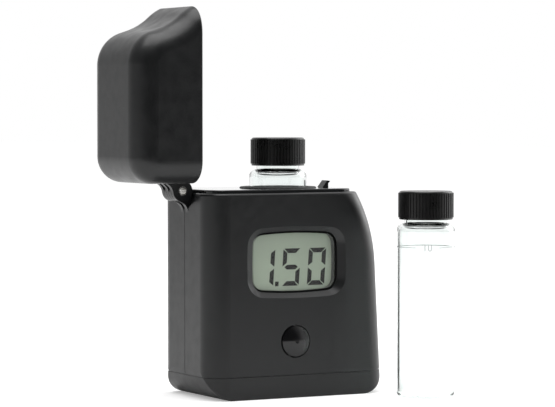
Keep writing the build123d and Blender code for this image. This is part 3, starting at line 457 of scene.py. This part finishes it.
segments = []
for index, digit in enumerate("150"):
    segments += lit_segments(digit, (index - 1) * DIGIT_PITCH)
dot = start_piece("decimal_point", bpy.ops.mesh.primitive_cube_add, size=1)
dot_x = -DIGIT_PITCH / 2 - DOT_SIZE[0] * DOT_BACK
dot.data.transform(Matrix.Diagonal((DOT_SIZE[0], SEGMENT_THICKNESS, DOT_SIZE[1], 1)))
dot.data.transform(Matrix.Translation((dot_x, 0, -half_height + DOT_SIZE[1] / 2)))
bpy.ops.object.select_all(action="DESELECT")
for piece in segments:
    piece.select_set(True)
dot.select_set(True)
bpy.context.view_layer.objects.active = dot
bpy.ops.object.join()
reading = dot
reading.name = "display_reading"
for pattern in (end_bar, side_bar, middle_bar):
    bpy.data.objects.remove(pattern)
lean = Matrix.Identity(4)
lean[0][2] = tan(DIGIT_LEAN)
reading.data.transform(lean)
panel_low, panel_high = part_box("display_panel")
in_front = panel_low.y - SEGMENT_THICKNESS
reading.data.transform(Matrix.Translation((READING_X, in_front, READING_HEIGHT)))
switched_on = moulded_plastic("switched-on liquid crystal", "#040604", 0.8, 0.2, 0.0005, ior=1.2)
settle(reading, switched_on, "housing")
print("reading has", len(reading.data.polygons), "faces")

# %% [markdown]
# ## The ring on each vial
# Each vial carries a thin enamel ring at the level that holds the full sample, with a plain number in a gap
# of the ring. The ring is one short upright edge that is spun around the vial's axis, and the number is a
# text whose points are wrapped around the same radius.

# %% Ring and number
RING_LEVEL = 46.5 * MM
RING_HEIGHT = 0.22 * MM
RING_PROUD = 0.012 * MM
RING_GAP = radians(46)
RING_STEPS = 90
NUMBER_SIZE = 3.1 * MM
FACING = radians(-90 - 28.1)
worn_enamel = moulded_plastic("worn grey enamel", "#c2c6c6", 0.6, 0.2, 0.002)


def wrap_round(piece, axis_x, axis_y, radius, middle_angle):
    """Bends a flat piece in the XZ plane around an upright axis: X becomes the way round."""
    for point in piece.data.vertices:
        angle = middle_angle + point.co.x / radius
        reach = radius + point.co.y
        point.co = Vector((axis_x + reach * cos(angle), axis_y + reach * sin(angle), point.co.z))


def printed_ring(name, glass, body):
    """The enamel ring and its number on one vial."""
    low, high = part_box(glass)
    axis = (low + high) / 2
    radius = (high.x - low.x) / 2
    level = low.z + RING_LEVEL
    start = FACING + RING_GAP / 2
    ring = start_piece(name, bpy.ops.mesh.primitive_plane_add, size=1)
    ring.data.clear_geometry()
    foot = Vector((axis.x + radius * cos(start), axis.y + radius * sin(start), level))
    ring.data.from_pydata([foot, foot + Vector((0, 0, RING_HEIGHT))], [(0, 1)], [])
    bpy.ops.object.mode_set(mode="EDIT")
    bpy.ops.mesh.select_all(action="SELECT")
    bpy.ops.mesh.spin(steps=RING_STEPS, angle=-(2 * pi - RING_GAP), center=(axis.x, axis.y, 0),
                      axis=(0, 0, 1))
    bpy.ops.mesh.select_all(action="SELECT")
    bpy.ops.mesh.normals_make_consistent(inside=False)
    bpy.ops.object.mode_set(mode="OBJECT")
    words = start_piece(name + "_number", bpy.ops.object.text_add)
    words.data.body = "10"
    words.data.size = NUMBER_SIZE
    words.data.align_x = "CENTER"
    words.data.align_y = "CENTER"
    bpy.ops.object.convert(target="MESH")
    words.data.transform(Matrix.Translation((0, 0, level)) @ Matrix.Rotation(radians(90), 4, "X"))
    wrap_round(words, axis.x, axis.y, radius, FACING)
    ring.select_set(True)
    bpy.context.view_layer.objects.active = ring
    bpy.ops.object.join()
    thick = ring.modifiers.new("thickness", "SOLIDIFY")
    thick.thickness = RING_PROUD
    thick.offset = 1
    finish_modifiers(ring)
    return settle(ring, worn_enamel, body)


rings = [printed_ring("vial_ring", "vial_glass", "vial"),
         printed_ring("spare_ring", "spare_glass", "spare")]
print("rings:", [(r.name, len(r.data.polygons)) for r in rings])

# %% [markdown]
# ## The studio
# The product stands in a white studio: a pale table, white walls around, and a dark gap in front, where the
# photographer stands. Dark plastic shows this room in its sheen, and the darker bands on the rounded edges
# are that gap. The room is drawn as the colour of the world by direction: dark in front, dim on the left and
# bright on the right. For the camera, and through glass, the background is plain white. The table ends 0.3 m
# in front of the meter, so that the front mirrors the dark gap and not a white table. The table glows a
# little, but only for the camera and through glass, so that it meets the white background without an edge.

# %% World and floor
BLACK_GAP = Vector((-0.1, -1, 0)).normalized()
GAP_EDGE = 0.35
GAP_MIDDLE = 0.9
GAP = 0.03
LEFT_WALL = 0.15
RIGHT_WALL = 1.5
ROOM_LIGHT = 0.8

world = bpy.data.worlds.new("white studio")
bpy.context.scene.world = world
world.use_nodes = True
tree = world.node_tree
tree.nodes.clear()
output = tree.nodes.new("ShaderNodeOutputWorld")
looking = add(tree, "ShaderNodeTexCoord").outputs["Generated"]
toward_gap = add(tree, "ShaderNodeVectorMath", {0: looking}, operation="DOT_PRODUCT")
toward_gap.inputs[1].default_value = BLACK_GAP
wall = add(tree, "ShaderNodeMapRange", {"Value": toward_gap.outputs["Value"]},
           {"From Min": GAP_EDGE, "From Max": GAP_MIDDLE, "To Min": 1.0, "To Max": GAP},
           interpolation_type="SMOOTHSTEP")
across = add(tree, "ShaderNodeSeparateXYZ", {"Vector": looking})
side = add(tree, "ShaderNodeMapRange", {"Value": across.outputs["X"]},
           {"From Min": -1.0, "From Max": 1.0, "To Min": LEFT_WALL, "To Max": RIGHT_WALL})
mirrored = add(tree, "ShaderNodeMath", {0: wall.outputs["Result"], 1: side.outputs["Result"]},
               operation="MULTIPLY")
path = add(tree, "ShaderNodeLightPath")
seen = add(tree, "ShaderNodeMath", {0: path.outputs["Is Camera Ray"], 1: path.outputs["Is Transmission Ray"]},
           operation="MAXIMUM")
room = add(tree, "ShaderNodeMix", {"Factor": path.outputs["Is Glossy Ray"], "B": mirrored.outputs["Value"]},
           {"A": ROOM_LIGHT})
strength = add(tree, "ShaderNodeMix", {"Factor": seen.outputs["Value"], "A": room.outputs["Result"]},
               {"B": 1.0})
background = add(tree, "ShaderNodeBackground", {"Strength": strength.outputs["Result"]},
                 {"Color": (1, 1, 1, 1)})
tree.links.new(background.outputs["Background"], output.inputs["Surface"])

FLOOR_SIZE = 6.0
FLOOR_GLOW = 0.3
TABLE_EDGE = 0.3
floor = start_piece("studio_floor", bpy.ops.mesh.primitive_plane_add, size=FLOOR_SIZE,
                    location=(0, FLOOR_SIZE / 2 - TABLE_EDGE, 0))
floor_material, tree, output = blank_material("matt white sweep")
paper = add(tree, "ShaderNodeBsdfDiffuse", None, {"Color": linear("#f2f2f2")})
path = add(tree, "ShaderNodeLightPath")
seen = add(tree, "ShaderNodeMath", {0: path.outputs["Is Camera Ray"], 1: path.outputs["Is Transmission Ray"]},
           operation="MAXIMUM")
lift = add(tree, "ShaderNodeMath", {0: seen.outputs["Value"]}, operation="MULTIPLY")
lift.inputs[1].default_value = FLOOR_GLOW
glow = add(tree, "ShaderNodeEmission", {"Strength": lift.outputs["Value"]}, {"Color": (1, 1, 1, 1)})
total = add(tree, "ShaderNodeAddShader")
tree.links.new(paper.outputs["BSDF"], total.inputs[0])
tree.links.new(glow.outputs["Emission"], total.inputs[1])
tree.links.new(total.outputs["Shader"], output.inputs["Surface"])
floor.data.materials.append(floor_material)
print("world and floor ready")

# %% [markdown]
# ## Lamps
# A large soft lamp hangs over the product and gives the shadow its direction, and a second one on the right
# puts the pale gleam on the housing's shoulder. Both are wide, so their edges never show as hard shapes.

# %% Place the lamps
def soft_lamp(name, place, aim, size, watts):
    """Rectangular lamp that faces a point."""
    data = bpy.data.lights.new(name, "AREA")
    data.shape = "RECTANGLE"
    data.size, data.size_y = size
    data.energy = watts
    lamp = bpy.data.objects.new(name, data)
    bpy.context.scene.collection.objects.link(lamp)
    direction = Vector(aim) - Vector(place)
    lamp.rotation_mode = "QUATERNION"
    lamp.rotation_quaternion = direction.to_track_quat("-Z", "Y")
    lamp.location = place
    return lamp


overhead = soft_lamp("overhead_softbox", (-0.1, -0.1, 1.0), (0, 0, 0.05), (0.9, 0.9), 7.0)
shoulder = soft_lamp("shoulder_softbox", (1.0, 0.1, 0.5), (0, 0, 0.06), (0.5, 0.9), 3.0)
bpy.context.scene.view_settings.view_transform = "Standard"
print("lamps:", overhead.name, shoulder.name)
